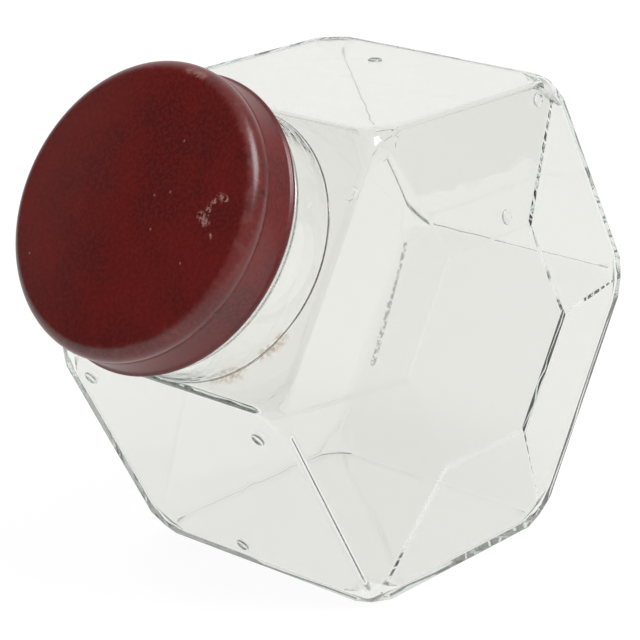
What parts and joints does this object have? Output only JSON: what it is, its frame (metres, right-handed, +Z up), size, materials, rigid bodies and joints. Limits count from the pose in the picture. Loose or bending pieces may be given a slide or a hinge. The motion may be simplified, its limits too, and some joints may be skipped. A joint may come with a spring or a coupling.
{
  "type": "specimen jar",
  "caption": "Clear glass counter jar with a hexagonal body on its side, a wide mouth leaning up out of one wall, and a dark red metal screw lid.",
  "frame": {"origin": "middle of the flat face that the jar rests on", "axes": "+Z up; the mouth leans out towards -X, 60 degrees from upright; the two crowned hexagonal ends face -Y and +Y"},
  "size_m": [0.261, 0.139, 0.2145],
  "materials": {
    "clear_glass": "pressed and blown soda-lime glass with a faint green tint",
    "red_enamelled_tinplate": "satin dark red stoving enamel, scuffed on top and at the rim",
    "waxed_pulpboard": "pressed pulpboard with a waxed face"
  },
  "bodies": {
    "jar": {"glass_jar": "clear_glass"},
    "liner": {"lid_liner": "waxed_pulpboard"},
    "lid": {"screw_lid": "red_enamelled_tinplate"}
  },
  "joints": [
    {"name": "lid_rise", "type": "slide", "parent": "jar", "child": "liner", "axis": [-0.866, 0, 0.5], "range_m": [0, 0.02032]},
    {"name": "lid_turn", "type": "hinge", "parent": "liner", "child": "lid", "pos_m": [-0.12272, 0, 0.16611], "axis": [-0.866, 0, 0.5], "range_deg": [0, 1440]}
  ],
  "couplings": [
    {"joint": "lid_rise", "follows": "lid_turn", "m_per_rad": 0.00080851}
  ]
}
